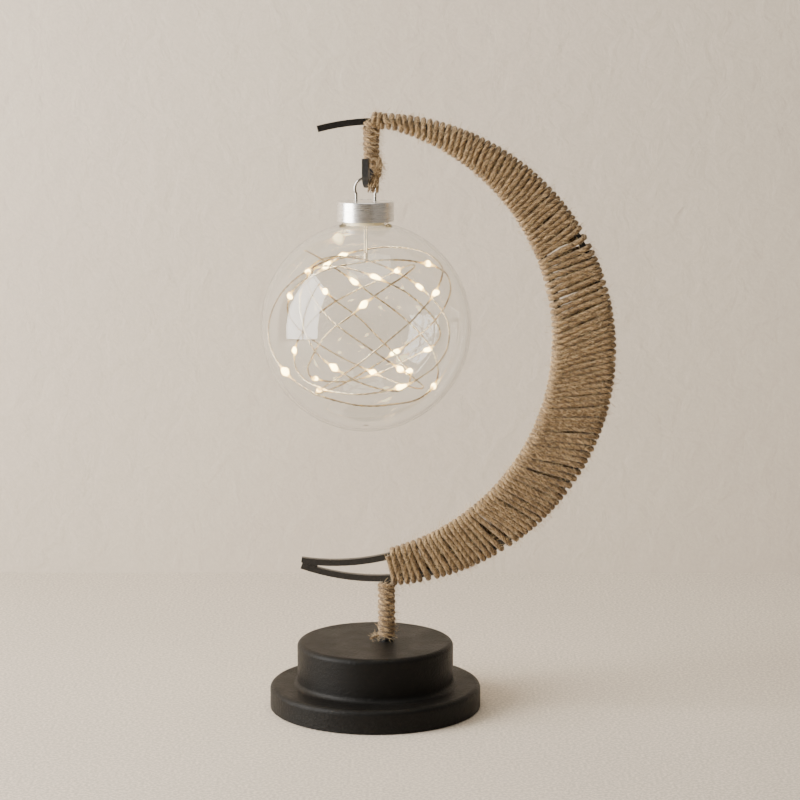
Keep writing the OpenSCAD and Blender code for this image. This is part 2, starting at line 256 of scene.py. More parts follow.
def laid_cord(name, path, radius, strands, lay, depth, seed, sides=18, taper=(0.0, 0.0), start=0.0):
    """A twisted cord along an even path.

    depth is how deep the grooves between the strands are, one number or one for
    each ring. taper thins the two ends over those lengths. The mesh carries
    three attributes: fibre, the place in the cord's own twisted grain; groove,
    0 between the strands and 1 on top, which the cord's material uses to paint
    shade between the strands; tint, a slow change along the cord.
    """
    _, side, up = carried_frames(path)
    step = np.linalg.norm(path[1] - path[0])
    run = start + np.arange(len(path)) * step
    angle = 2 * np.pi * np.arange(sides) / sides
    twist = 2 * np.pi * run / lay + 0.5 * wander(run, 2.2 * lay, seed)
    local = angle[None, :] - twist[:, None]
    lobe = np.abs(np.cos(strands / 2 * local)) ** 0.75
    depth = np.broadcast_to(depth, run.shape)[:, None]
    thick = radius * (1 + 0.05 * wander(run, 5.0, seed + 1))[:, None]
    rough = np.random.default_rng(seed + 2).uniform(-0.04, 0.04, local.shape) * radius
    reach = thick * (1 - depth + depth * lobe) + rough
    along = run - run[0]
    if taper[0] > 0:
        reach *= np.clip(0.35 + 0.65 * along / taper[0], 0, 1)[:, None]
    if taper[1] > 0:
        reach *= np.clip(0.30 + 0.70 * (along[-1] - along) / taper[1], 0, 1)[:, None]
    ring = (
        path[:, None, :]
        + reach[..., None] * (np.cos(angle)[None, :, None] * side[:, None, :]
                              + np.sin(angle)[None, :, None] * up[:, None, :])
    )
    faces = ring_faces(len(path), sides).tolist()
    last = (len(path) - 1) * sides
    faces.append(list(range(sides))[::-1])
    faces.append([last + k for k in range(sides)])
    obj = write_mesh(name, ring.reshape(-1, 3), faces)
    grain = np.stack(
        [radius * np.cos(local), radius * np.sin(local), np.broadcast_to(run[:, None], local.shape)],
        axis=-1,
    )
    put_attribute(obj, "fibre", "FLOAT_VECTOR", grain.reshape(-1))
    put_attribute(obj, "groove", "FLOAT", lobe.reshape(-1))
    tint = np.repeat(0.5 + 0.5 * wander(run, 16.0, seed + 3), sides)
    put_attribute(obj, "tint", "FLOAT", tint)
    return obj


def put_attribute(obj, name, kind, values):
    """Writes one value for each point of a mesh."""
    layer = obj.data.attributes.new(name, kind, "POINT")
    field = "vector" if kind == "FLOAT_VECTOR" else "value"
    layer.data.foreach_set(field, np.asarray(values, np.float32).reshape(-1))


def joined(name, objects):
    """Several mesh objects made one, attributes kept."""
    with bpy.context.temp_override(
        active_object=objects[0], object=objects[0],
        selected_objects=objects, selected_editable_objects=objects,
    ):
        bpy.ops.object.join()
    objects[0].name = name
    objects[0].data.name = name
    return objects[0]


# ---------------------------------------------------------------- shader helpers


class Shade:
    """Short calls for building one material's or one group's nodes."""

    def __init__(self, tree):
        self.tree = tree

    def add(self, kind, values=None, **settings):
        node = self.tree.nodes.new(kind)
        for key, value in settings.items():
            setattr(node, key, value)
        for key, value in (values or {}).items():
            if isinstance(value, bpy.types.NodeSocket):
                self.tree.links.new(value, node.inputs[key])
            else:
                node.inputs[key].default_value = value
        return node

    def link(self, a, b):
        self.tree.links.new(a, b)

    def math(self, how, a, b=None, clamp=False):
        node = self.add("ShaderNodeMath", operation=how, use_clamp=clamp)
        for i, value in enumerate((a, b)):
            if value is None:
                continue
            if isinstance(value, bpy.types.NodeSocket):
                self.link(value, node.inputs[i])
            else:
                node.inputs[i].default_value = value
        return node.outputs[0]

    def mix(self, factor, a, b, how="MIX"):
        node = self.add("ShaderNodeMix", data_type="RGBA", blend_type=how)
        for i, value in ((0, factor), (6, a), (7, b)):
            if isinstance(value, bpy.types.NodeSocket):
                self.link(value, node.inputs[i])
            elif i == 0:
                node.inputs[i].default_value = value
            else:
                node.inputs[i].default_value = (*tuple(value)[:3], 1.0)
        return node.outputs[2]

    def span(self, value, low, high, to_low=0.0, to_high=1.0):
        node = self.add("ShaderNodeMapRange", {0: value, 1: low, 2: high, 3: to_low, 4: to_high})
        return node.outputs[0]

    def noise(self, vector, scale, detail=3.0, rough=0.55, **values):
        node = self.add(
            "ShaderNodeTexNoise",
            {"Vector": vector, "Scale": scale, "Detail": detail, "Roughness": rough, **values},
        )
        return node.outputs[0]


def new_group(name, inputs, outputs):
    """An empty shader group with named sockets, and its two end nodes."""
    tree = bpy.data.node_groups.new(name, "ShaderNodeTree")
    kinds = {"float": "NodeSocketFloat", "color": "NodeSocketColor", "vector": "NodeSocketVector"}
    for label, kind, default in inputs:
        socket = tree.interface.new_socket(name=label, in_out="INPUT", socket_type=kinds[kind])
        if default is not None:
            socket.default_value = default
    for label, kind in outputs:
        tree.interface.new_socket(name=label, in_out="OUTPUT", socket_type=kinds[kind])
    shade = Shade(tree)
    return tree, shade, shade.add("NodeGroupInput"), shade.add("NodeGroupOutput")


def grain_group():
    """Fine even grain of a coat or a casting: a height and a mask."""
    found = bpy.data.node_groups.get("Coat Grain")
    if found:
        return found
    tree, shade, ends_in, ends_out = new_group(
        "Coat Grain",
        [("Grain Size", "float", 0.25), ("Cloud Size", "float", 8.0)],
        [("Height", "float"), ("Cloud", "float")],
    )
    place = shade.add("ShaderNodeTexCoord").outputs["Object"]
    fine = shade.math("DIVIDE", 1000.0, ends_in.outputs["Grain Size"])
    wide = shade.math("DIVIDE", 1000.0, ends_in.outputs["Cloud Size"])
    grain = shade.noise(place, fine, 4.0, 0.65)
    cloud = shade.noise(place, wide, 3.0, 0.6)
    shade.link(grain, ends_out.inputs["Height"])
    shade.link(shade.span(cloud, 0.3, 0.7), ends_out.inputs["Cloud"])
    return tree


def wear_group():
    """Where a coat is rubbed: edges found by the mesh's pointiness, broken up by noise."""
    found = bpy.data.node_groups.get("Edge Wear")
    if found:
        return found
    tree, shade, ends_in, ends_out = new_group(
        "Edge Wear",
        [("Speck Size", "float", 1.5), ("Amount", "float", 0.5)],
        [("Mask", "float")],
    )
    place = shade.add("ShaderNodeTexCoord").outputs["Object"]
    pointy = shade.add("ShaderNodeNewGeometry").outputs["Pointiness"]
    scale = shade.math("DIVIDE", 1000.0, ends_in.outputs["Speck Size"])
    speck = shade.noise(place, scale, 4.0, 0.7)
    edge = shade.span(pointy, 0.52, 0.62)
    broken = shade.math("MULTIPLY", edge, shade.span(speck, 0.42, 0.62))
    mask = shade.math("MULTIPLY", broken, ends_in.outputs["Amount"], clamp=True)
    shade.link(mask, ends_out.inputs["Mask"])
    return tree


def dust_group():
    """Thin dust that settles on faces that look up."""
    found = bpy.data.node_groups.get("Settled Dust")
    if found:
        return found
    tree, shade, ends_in, ends_out = new_group(
        "Settled Dust",
        [("Amount", "float", 0.4)],
        [("Mask", "float")],
    )
    geometry = shade.add("ShaderNodeNewGeometry")
    parts = shade.add("ShaderNodeSeparateXYZ", {0: geometry.outputs["Normal"]})
    place = shade.add("ShaderNodeTexCoord").outputs["Object"]
    patch = shade.noise(place, 55.0, 5.0, 0.7)
    upward = shade.span(parts.outputs["Z"], 0.35, 1.0)
    mask = shade.math("MULTIPLY", upward, shade.span(patch, 0.3, 0.75))
    shade.link(shade.math("MULTIPLY", mask, ends_in.outputs["Amount"], clamp=True), ends_out.inputs["Mask"])
    return tree


def new_material(name, **plain):
    """A material with one Principled shader, its plain values set on it."""
    material = bpy.data.materials.new(name)
    material.use_nodes = True
    shade = Shade(material.node_tree)
    surface = material.node_tree.nodes["Principled BSDF"]
    for label, value in plain.items():
        surface.inputs[label.replace("_", " ")].default_value = value
    return material, shade, surface


def put_bump(shade, surface, height, strength, distance):
    bump = shade.add("ShaderNodeBump", {"Height": height, "Strength": strength, "Distance": distance * MM})
    shade.link(bump.outputs["Normal"], surface.inputs["Normal"])


def use_group(shade, tree, **values):
    node = shade.add("ShaderNodeGroup", node_tree=tree)
    for label, value in values.items():
        node.inputs[label.replace("_", " ")].default_value = value
    return node


# ---------------------------------------------------------------- materials


def cord_material(name, light, dark):
    """Jute: long fibres in the twisted grain, with painted shade between the strands."""
    material, shade, surface = new_material(name, Roughness=0.86, Sheen_Weight=0.25, Sheen_Roughness=0.5)
    surface.inputs["Specular IOR Level"].default_value = 0.25
    grain = shade.add("ShaderNodeAttribute", attribute_name="fibre").outputs["Vector"]
    groove = shade.add("ShaderNodeAttribute", attribute_name="groove").outputs["Fac"]
    tint = shade.add("ShaderNodeAttribute", attribute_name="tint").outputs["Fac"]
    drawn = shade.add("ShaderNodeMapping", {"Vector": grain, "Scale": (1.0, 1.0, 0.07)}).outputs[0]
    fibres = shade.noise(drawn, 4.2, 5.0, 0.70)
    clumps = shade.noise(drawn, 1.6, 2.0, 0.5)
    place = shade.add("ShaderNodeTexCoord").outputs["Object"]
    blotch = shade.noise(place, 45.0, 2.0, 0.5)
    fleck = shade.noise(place, 1150.0, 4.0, 0.75, Distortion=0.8)
    # Painted shade: raised is 0.25 between the strands and 1 on top, so the grooves take the deep colour; the
    # fibre and fleck noise on top of it is the jute's own grain.
    raised = shade.span(groove, 0.0, 0.8, 0.25, 1.0)
    lit = shade.math("MULTIPLY", raised, shade.span(fibres, 0.38, 0.62, 0.10, 1.0))
    lit = shade.math("MULTIPLY", lit, shade.span(fleck, 0.38, 0.60, 0.12, 1.35))
    base = shade.mix(lit, dark, light)
    warm = shade.mix(shade.span(clumps, 0.35, 0.65), (0.80, 0.72, 0.62), (1.16, 1.12, 1.05))
    base = shade.mix(1.0, base, warm, "MULTIPLY")
    slow = shade.mix(tint, (0.84, 0.80, 0.74), (1.10, 1.08, 1.06))
    base = shade.mix(1.0, base, slow, "MULTIPLY")
    patch = shade.mix(shade.span(blotch, 0.35, 0.65), (0.90, 0.88, 0.85), (1.06, 1.06, 1.06))
    base = shade.mix(1.0, base, patch, "MULTIPLY")
    shade.link(base, surface.inputs["Base Color"])
    height = shade.math("ADD", shade.math("MULTIPLY", fibres, 0.6), shade.math("MULTIPLY", fleck, 0.4))
    put_bump(shade, surface, height, 1.0, 0.45)
    return material


def hair_material(name, light):
    """Single stray jute fibres."""
    material, shade, surface = new_material(name, Roughness=0.7)
    place = shade.add("ShaderNodeTexCoord").outputs["Object"]
    tone = shade.noise(place, 400.0, 2.0, 0.5)
    pale = [min(1.0, c * 1.25) for c in light]
    deep = [c * 0.75 for c in light]
    shade.link(shade.mix(tone, deep, pale), surface.inputs["Base Color"])
    return material


def coat_material(name, colour, grain_size, grain_height, roughness, dust, wear, shine=0.5):
    """Painted metal: fine grain, slow clouds, dust on top and rubbed edges."""
    material, shade, surface = new_material(name)
    surface.inputs["Specular IOR Level"].default_value = shine
    grain = use_group(shade, grain_group(), Grain_Size=grain_size, Cloud_Size=14.0)
    dusty = use_group(shade, dust_group(), Amount=dust)
    rubbed = use_group(shade, wear_group(), Speck_Size=1.2, Amount=wear)
    dull = [c * 0.75 for c in colour]
    base = shade.mix(grain.outputs["Cloud"], dull, colour)
    base = shade.mix(dusty.outputs["Mask"], base, (0.075, 0.062, 0.050))
    base = shade.mix(rubbed.outputs["Mask"], base, (0.11, 0.10, 0.09))
    shade.link(base, surface.inputs["Base Color"])
    rough = shade.span(grain.outputs["Cloud"], 0.0, 1.0, roughness - 0.05, roughness + 0.06)
    shade.link(rough, surface.inputs["Roughness"])
    put_bump(shade, surface, grain.outputs["Height"], 1.0, grain_height)
    return material


def metal_material(name, colour, roughness, brush=None, stretch=(1.0, 1.0, 1.0), relief=0.004):
    """Bare metal with fine drawing marks that change its roughness."""
    material, shade, surface = new_material(name, Metallic=1.0)
    place = shade.add("ShaderNodeTexCoord").outputs["Object"]
    drawn = shade.add("ShaderNodeMapping", {"Vector": place, "Scale": stretch}).outputs[0]
    marks = shade.noise(drawn, brush or 900.0, 5.0, 0.7)
    smear = shade.noise(place, 90.0, 3.0, 0.6)
    tone = shade.mix(shade.span(smear, 0.35, 0.7), [c * 0.92 for c in colour], colour)
    shade.link(tone, surface.inputs["Base Color"])
    rough = shade.span(marks, 0.3, 0.7, roughness - 0.05, roughness + 0.08)
    shade.link(rough, surface.inputs["Roughness"])
    put_bump(shade, surface, marks, 0.35, relief)
    return material


def plastic_material(name, colour, roughness):
    """Moulded plastic with a faint texture."""
    material, shade, surface = new_material(name)
    grain = use_group(shade, grain_group(), Grain_Size=0.35, Cloud_Size=5.0)
    base = shade.mix(grain.outputs["Cloud"], [c * 0.93 for c in colour], colour)
    shade.link(base, surface.inputs["Base Color"])
    rough = shade.span(grain.outputs["Height"], 0.3, 0.7, roughness - 0.05, roughness + 0.05)
    shade.link(rough, surface.inputs["Roughness"])
    put_bump(shade, surface, grain.outputs["Height"], 0.4, 0.01)
    return material


def felt_material(name):
    """Pressed wool felt."""
    material, shade, surface = new_material(name, Roughness=0.95, Sheen_Weight=0.4)
    place = shade.add("ShaderNodeTexCoord").outputs["Object"]
    wool = shade.noise(place, 1400.0, 5.0, 0.75, Distortion=1.5)
    base = shade.mix(shade.span(wool, 0.3, 0.7), (0.03, 0.03, 0.032), (0.085, 0.085, 0.09))
    shade.link(base, surface.inputs["Base Color"])
    put_bump(shade, surface, wool, 0.8, 0.2)
    return material


def glass_material(name):
    """Thin clear glass that lets the lamps' light through."""
    material, shade, surface = new_material(name, Roughness=0.0, IOR=1.45, Transmission_Weight=1.0)
    surface.inputs["Base Color"].default_value = (0.985, 0.99, 0.985, 1.0)
    tree = material.node_tree
    output = tree.nodes["Material Output"]
    path = shade.add("ShaderNodeLightPath")
    clear = shade.add("ShaderNodeBsdfTransparent", {"Color": (0.93, 0.93, 0.92, 1.0)})
    either = shade.add("ShaderNodeMixShader")
    shade.link(path.outputs["Is Shadow Ray"], either.inputs[0])
    shade.link(surface.outputs[0], either.inputs[1])
    shade.link(clear.outputs[0], either.inputs[2])
    shade.link(either.outputs[0], output.inputs["Surface"])
    return material


def glow_material(name, colour, strength):
    """A lit resin drop: brightest over the chip, warmer towards its ends."""
    material, shade, surface = new_material(name, Roughness=0.15)
    core = shade.add("ShaderNodeAttribute", attribute_name="core").outputs["Fac"]
    facing = shade.add("ShaderNodeLayerWeight", {"Blend": 0.35}).outputs["Facing"]
    inner = shade.math("MULTIPLY", shade.span(core, 0.0, 0.45), shade.span(facing, 0.55, 0.15), clamp=True)
    rim = [c * 0.20 for c in colour[:3]]
    warm = shade.mix(inner, rim, (1.0, 0.80, 0.36))
    shade.link(warm, surface.inputs["Base Color"])
    shade.link(warm, surface.inputs["Emission Color"])
    surface.inputs["Emission Strength"].default_value = strength
    return material


# ---------------------------------------------------------------- cord on the crescent


def on_circle(centre, radius, angle):
    return np.array([centre[0] + radius * math.cos(angle), centre[1] + radius * math.sin(angle)])


def inner_point(outer_at):
    """Where a turn that crosses the outer bow here meets the inner bow, in the moon's plane.

    The turn points at the middle between the two bows' centres. Where the inner
    bow has run into the outer bow, both ends of the turn are the same place.
    """
    middle = (np.array(OUTER_CENTRE) + np.array(INNER_CENTRE)) / 2
    inward = middle - outer_at
    inward /= np.linalg.norm(inward)
    offset = outer_at - np.array(INNER_CENTRE)
    half = np.dot(offset, inward)
    gap = half * half - np.dot(offset, offset) + INNER_RADIUS * INNER_RADIUS
    depth = -half - math.sqrt(max(gap, 0.0))
    return outer_at + inward * max(depth, 0.0)


def turn_outline(lift):
    """One turn round two bars as (along, across) corners: along 0 at the inner bar, 1 at the outer bar.

    Each entry is (end, radial, across, share): which bar it belongs to, how far
    past that bar's centre it lies, how far in front, and the share of the turn done.
    """
    near = BAR_HALF + lift
    arc = [math.radians(a) for a in (-80, -55, -30, 0, 30, 55, 80)]
    outline = [(0.0, -BAR_HALF * 0.4, -near, 0.0)]
    outline += [(0.5, 0.0, -near, 0.26)]
    outline += [(1.0, BAR_HALF * 0.4, -near, 0.44)]
    for a in arc:
        outline.append((1.0, near * math.cos(a) * 1.0, near * math.sin(a), 0.50 + 0.05 * a / 1.4))
    outline += [(1.0, BAR_HALF * 0.4, near, 0.60), (0.5, 0.0, near, 0.76), (0.0, -BAR_HALF * 0.4, near, 0.90)]
    for a in arc:
        outline.append((0.0, -near * math.cos(a), -near * math.sin(a), 0.95 + 0.03 * a / 1.4))
    return outline


def crescent_path(turns, lift, seed):
    """The cord's centreline wound round both bows, from the lower horn to the hook."""
    rng = random.Random(seed)
    first = math.radians(-86.6)
    last = math.radians(90.4)
    wide = {5: 0.75, 6: 0.2, 17: 0.45, 18: 0.5, 24: 0.35, 31: 0.7, 33: 0.35, 64: 0.5, 69: 0.3, 71: 1.3}
    spacing = [1.0 + rng.uniform(-0.13, 0.13) + wide.get(k, 0.0) for k in range(turns + 1)]
    places = np.concatenate([[0], np.cumsum(spacing)])
    angles = first + (last - first) * places / places[-1]
    lead = {k: 0.3 for k in range(61, 68)}
    lead.update({58: 0.15, 59: 0.2, 60: 0.25, 68: 0.25})
    tight = [
        1.0 + rng.uniform(-0.10, 0.10) + 0.25 * wide.get(k, 0.0) + lead.get(k, 0.0) for k in range(turns + 1)
    ]
    inner_places = np.concatenate([[0], np.cumsum(tight)])
    inner_angles = first + (last - first) * inner_places / inner_places[-1]
    index = np.arange(len(angles))
    points = []
    outline = turn_outline(lift)
    for turn in range(turns):
        bow = rng.uniform(-0.7, 0.7)
        slack = rng.uniform(0.0, 0.18)
        for end, radial, across, share in outline:
            advance = turn + share
            outer_at = on_circle(OUTER_CENTRE, OUTER_RADIUS, np.interp(advance, index, angles))
            inner_angle = np.interp(advance, index, inner_angles)
            inner_at = inner_point(on_circle(OUTER_CENTRE, OUTER_RADIUS, inner_angle))
            reach = outer_at - inner_at
            length = np.linalg.norm(reach)
            outward = np.array(outer_at) - np.array(OUTER_CENTRE)
            outward /= np.linalg.norm(outward)
            if end == 0.0:
                flat = inner_at + outward * radial
            elif end == 1.0:
                flat = outer_at + outward * radial
            else:
                along = np.array([-outward[1], outward[0]])
                flat = (outer_at + inner_at) / 2 + along * bow * min(1.0, length / 12)
            depth = across + (slack if across > 0 else -slack) * (0.6 if end == 0.5 else 0.2)
            points.append((flat[0], depth, flat[1]))
    return np.array(points)


class LAMP_OT_crescent_cord(bpy.types.Operator):
    """Winds the jute cord round the two bows, side by side"""

    bl_idname = "lamp.crescent_cord"
    bl_label = "Crescent Cord"

    def execute(self, context):
        cord = context.scene.lamp_cord
        raw = crescent_path(cord.turns, cord.radius, seed=11)
        dense, _ = even_path(raw, 0.55)
        path, at = even_path(smooth_line(dense, 3), 0.62)
        height = np.interp(path[:, 2], [80, 190], [0.08, 0.20])
        material = cord_material("Jute Cord", cord.light, cord.dark)
        lengths = 4
        cuts = np.linspace(0, len(path), lengths + 1).astype(int)
        pieces = []
        for k in range(lengths):
            low = cuts[k]
            high = min(cuts[k + 1] + 1, len(path))
            piece = laid_cord(
                f"crescent_cord_{k + 1}", path[low:high], cord.radius, cord.strands, cord.lay,
                height[low:high], seed=20, start=at[low],
            )
            pieces.append(piece)
        settle(pieces[0], "stand", material, ("crescent_wrap",))
        for piece in pieces[1:]:
            settle(piece, "stand", material, ("crescent_wrap",))
        return {"FINISHED"}


# ---------------------------------------------------------------- cord on the hook and the stem


def helix(centre, radius, low, high, pitch, start=0.0, seed=3):
    """Turns of cord round an upright rod, from low up to high, with hand-wound unevenness."""
    rng = random.Random(seed)
    turns = (high - low) / pitch
    count = int(turns * 40) + 1
    drift = [rng.uniform(-0.22, 0.22) for _ in range(int(turns) + 3)]
    points = []
    for i in range(count):
        turn = turns * i / (count - 1)
        angle = start + 2 * math.pi * turn
        k = int(turn)
        slip = drift[k] + (drift[k + 1] - drift[k]) * (turn - k)
        points.append((
            centre[0] + radius * math.cos(angle),
            centre[1] + radius * math.sin(angle),
            low + pitch * turn + slip,
        ))
    return points


def frayed_end(name, root, tip, count, spread, seed):
    """Loose strands that part from the cut end of a cord, as one mesh of thin cords."""
    rng = random.Random(seed)
    root = np.array(root, float)
    tip = np.array(tip, float)
    strands = []
    for k in range(count):
        sway = np.array([rng.uniform(-1, 1), rng.uniform(-0.6, 0.6), rng.uniform(-0.5, 0.5)])
        end = tip + spread * sway
        bend = (root + end) / 2 + 0.35 * spread * np.array([rng.uniform(-1, 1), rng.uniform(-1, 1), 0])
        t = np.linspace(0, 1, 24)[:, None]
        line = (1 - t) ** 2 * root + 2 * t * (1 - t) * bend + t ** 2 * end
        path, _ = even_path(line, 0.45)
        thick = rng.uniform(0.22, 0.5)
        strand = laid_cord(f"{name}_{k}", path, thick, 2, 5.0, 0.15, seed + k, sides=8, taper=(0, 3.0))
        strands.append(strand)
    return joined(name, strands)


def corner_coil(shank, foot_z, cord_radius):
    """Coils that leave the top of the bow, fan over its corner and run down the hook's shank."""
    rng = random.Random(5)
    start = on_circle(OUTER_CENTRE, OUTER_RADIUS, math.radians(89.3))
    lead = on_circle(OUTER_CENTRE, OUTER_RADIUS, math.radians(91.0))
    corner = (shank[0] - 0.5, lead[1] + 0.2)
    drop = (shank[0], lead[1] - 4.5)
    axis = [start]
    for t in np.linspace(0, 1, 16):
        axis.append(tuple(
            (1 - t) ** 2 * lead[k] + 2 * t * (1 - t) * corner[k] + t * t * drop[k] for k in (0, 1)
        ))
    axis.append((shank[0], foot_z))
    flat = np.array([(x, 0.0, z) for x, z in axis])
    line, run = even_path(flat, 0.08)
    corner_run = run[np.argmin(np.linalg.norm(line - (corner[0], 0.0, corner[1]), axis=1))]
    tangent = np.gradient(line, axis=0)
    tangent /= np.linalg.norm(tangent, axis=1)[:, None]
    bend = np.interp(line[:, 0], [shank[0] + 1.0, lead[0] + 1.5], [1.0, 0.0])
    upright = np.interp(line[:, 2], [lead[1] - 9.0, lead[1] - 3.0], [1.0, 0.0])
    fan = np.exp(-((run - corner_run) / 3.2) ** 2)
    near = BAR_HALF + cord_radius
    middle = np.where(upright > 0, shank[1] / 2 * (1 + upright), shank[1] / 2 * bend)
    deep = near + shank[1] / 2 * np.where(upright > 0, 1 - upright, bend)
    pitch = 2 * cord_radius - 0.25
    slip = 0.9 * wander(run, 3.0, 9)
    angle = 2 * np.pi * run / pitch + 0.25 * slip
    points = []
    for k in range(len(line)):
        outward = np.array([-tangent[k][2], 0.0, tangent[k][0]])
        reach = near * (1.0 + 0.04 * rng.uniform(-1, 1) + 0.22 * fan[k])
        square = 1.0 + 0.06 * math.cos(4 * angle[k])
        points.append(
            line[k] + np.array([0, middle[k], 0])
            - outward * reach * square * math.cos(angle[k])
            - np.array([0, 1.0, 0]) * deep[k] * square * math.sin(angle[k])
        )
    return smooth_line(points, 6)


class LAMP_OT_hook_cord(bpy.types.Operator):
    """Carries the cord over the top corner and down the hook, with its frayed end"""

    bl_idname = "lamp.hook_cord"
    bl_label = "Hook Cord"

    def execute(self, context):
        cord = context.scene.lamp_cord
        low, high = box_mm("hook_bar")
        shank = (high[0] - BAR_HALF * 1.15 + 0.2, high[1] - BAR_HALF * 1.15)
        material = bpy.data.materials["Jute Cord"]
        foot_z = low[2] + 8.6
        raw = corner_coil(shank, foot_z, cord.radius)
        dense, _ = even_path(raw, 0.5)
        path, _ = even_path(smooth_line(dense, 3), 0.55)
        main = laid_cord(
            "hook_cord", path, cord.radius, cord.strands, cord.lay, 0.2, seed=41, taper=(0.0, 2.0)
        )
        hang = [
            (shank[0] + 3.0, shank[1] - 0.6, foot_z + 6.0),
            (shank[0] + 3.9, shank[1] - 3.2, foot_z + 2.5),
            (1.9, -3.4, foot_z - 0.5),
            (1.2, -3.9, foot_z - 4.5),
        ]
        hang_path, _ = even_path(smooth_line(even_path(hang, 0.6)[0], 10), 0.5)
        end = laid_cord(
            "hook_tail", hang_path, 1.6, 3, 9.0, 0.25, seed=53, sides=16, taper=(1.5, 2.0)
        )
        frayed = frayed_end("hook_fray", (1.4, -3.6, foot_z + 1.5), (-0.7, -4.3, low[2] - 1.0), 60, 2.7, 61)
        for piece in (main, end, frayed):
            settle(piece, "stand", material, ("hook_wrap",))
        return {"FINISHED"}


class LAMP_OT_stem_cord(bpy.types.Operator):
    """Winds the cord up the short stem"""

    bl_idname = "lamp.stem_cord"
    bl_label = "Stem Cord"

    def execute(self, context):
        cord = context.scene.lamp_cord
        low, high = box_mm("stem_wrap")
        rod_low, rod_high = box_mm("stem_rod")
        centre = ((rod_low[0] + rod_high[0]) / 2, (rod_low[1] + rod_high[1]) / 2)
        reach = (high[1] - low[1]) / 2 - cord.radius
        pitch = 2 * cord.radius + 0.02
        foot = low[2] + cord.radius + 0.5
        raw = helix(centre, reach, foot, high[2] - cord.radius * 0.6, pitch, start=2.2, seed=12)
        raw = [(x, y, z - 0.28 * (x - centre[0])) for x, y, z in raw]
        path, _ = even_path(raw, 0.5)
        main = laid_cord(
            "stem_cord", path, cord.radius, cord.strands, cord.lay, 0.2, seed=71, taper=(2.0, 2.0)
        )
        root = (centre[0] - reach - 0.4, centre[1] - 1.6, low[2] + 3.0)
        tip = (centre[0] - reach - 4.6, centre[1] - 2.2, low[2] + 1.2)
        frayed = frayed_end("stem_fray", root, tip, 6, 1.1, 83)
        material = bpy.data.materials["Jute Cord"]
        for piece in (main, frayed):
            settle(piece, "stand", material, ("stem_wrap",))
        return {"FINISHED"}


# ---------------------------------------------------------------- stray fibres


def fibre_tree():
    """Stray fibres over a surface: named inputs, fixed seed, real mesh out."""
    found = bpy.data.node_groups.get("Stray Fibres")
    if found:
        return found
    tree = bpy.data.node_groups.new("Stray Fibres", "GeometryNodeTree")
    face = tree.interface
    face.new_socket(name="Geometry", in_out="INPUT", socket_type="NodeSocketGeometry")
    for label, kind, default in (
        ("Density", "NodeSocketFloat", 100000.0),
        ("Length", "NodeSocketFloat", 0.003),
        ("Thickness", "NodeSocketFloat", 0.00005),
        ("Seed", "NodeSocketInt", 1),
        ("Material", "NodeSocketMaterial", None),
    ):
        socket = face.new_socket(name=label, in_out="INPUT", socket_type=kind)
        if default is not None:
            socket.default_value = default
    face.new_socket(name="Geometry", in_out="OUTPUT", socket_type="NodeSocketGeometry")
    nodes = tree.nodes
    link = tree.links.new
    ends_in = nodes.new("NodeGroupInput")
    ends_out = nodes.new("NodeGroupOutput")
    scatter = nodes.new("GeometryNodeDistributePointsOnFaces")
    link(ends_in.outputs["Geometry"], scatter.inputs["Mesh"])
    link(ends_in.outputs["Density"], scatter.inputs["Density"])
    link(ends_in.outputs["Seed"], scatter.inputs["Seed"])
    curl = nodes.new("GeometryNodeCurveQuadraticBezier")
    curl.inputs["Resolution"].default_value = 3
    curl.inputs["Start"].default_value = (0.0, 0.0, 0.0)
    curl.inputs["Middle"].default_value = (0.10, 0.0, 0.55)
    curl.inputs["End"].default_value = (0.48, 0.12, 0.85)
    sized = nodes.new("GeometryNodeTransform")
    stretch = nodes.new("ShaderNodeCombineXYZ")
    for axis in ("X", "Y", "Z"):
        link(ends_in.outputs["Length"], stretch.inputs[axis])
    link(curl.outputs["Curve"], sized.inputs["Geometry"])
    link(stretch.outputs[0], sized.inputs["Scale"])
    section = nodes.new("GeometryNodeCurvePrimitiveCircle")
    section.inputs["Resolution"].default_value = 3
    link(ends_in.outputs["Thickness"], section.inputs["Radius"])
    tube = nodes.new("GeometryNodeCurveToMesh")
    link(sized.outputs["Geometry"], tube.inputs["Curve"])
    link(section.outputs["Curve"], tube.inputs["Profile Curve"])
    stray = nodes.new("FunctionNodeRandomValue")
    stray.data_type = "FLOAT_VECTOR"
    stray.inputs[0].default_value = (-1.0, -1.0, -1.0)
    stray.inputs[1].default_value = (1.0, 1.0, 1.0)
    link(ends_in.outputs["Seed"], stray.inputs["Seed"])
    lean = nodes.new("ShaderNodeVectorMath")
    lean.operation = "MULTIPLY_ADD"
    link(scatter.outputs["Normal"], lean.inputs[0])
    lean.inputs[1].default_value = (0.75, 0.75, 0.75)
    link(stray.outputs[0], lean.inputs[2])
    align = nodes.new("FunctionNodeAlignRotationToVector")
    align.axis = "Z"
    link(lean.outputs[0], align.inputs["Vector"])
    spread = nodes.new("FunctionNodeRandomValue")
    spread.data_type = "FLOAT"
    spread.inputs[2].default_value = 0.35
    spread.inputs[3].default_value = 1.25
    place = nodes.new("GeometryNodeInstanceOnPoints")
    link(scatter.outputs["Points"], place.inputs["Points"])
    link(tube.outputs["Mesh"], place.inputs["Instance"])
    link(align.outputs["Rotation"], place.inputs["Rotation"])
    link(spread.outputs[1], place.inputs["Scale"])
    real = nodes.new("GeometryNodeRealizeInstances")
    link(place.outputs["Instances"], real.inputs["Geometry"])
    paint = nodes.new("GeometryNodeSetMaterial")
    link(real.outputs["Geometry"], paint.inputs["Geometry"])
    link(ends_in.outputs["Material"], paint.inputs["Material"])
    link(paint.outputs["Geometry"], ends_out.inputs["Geometry"])
    return tree


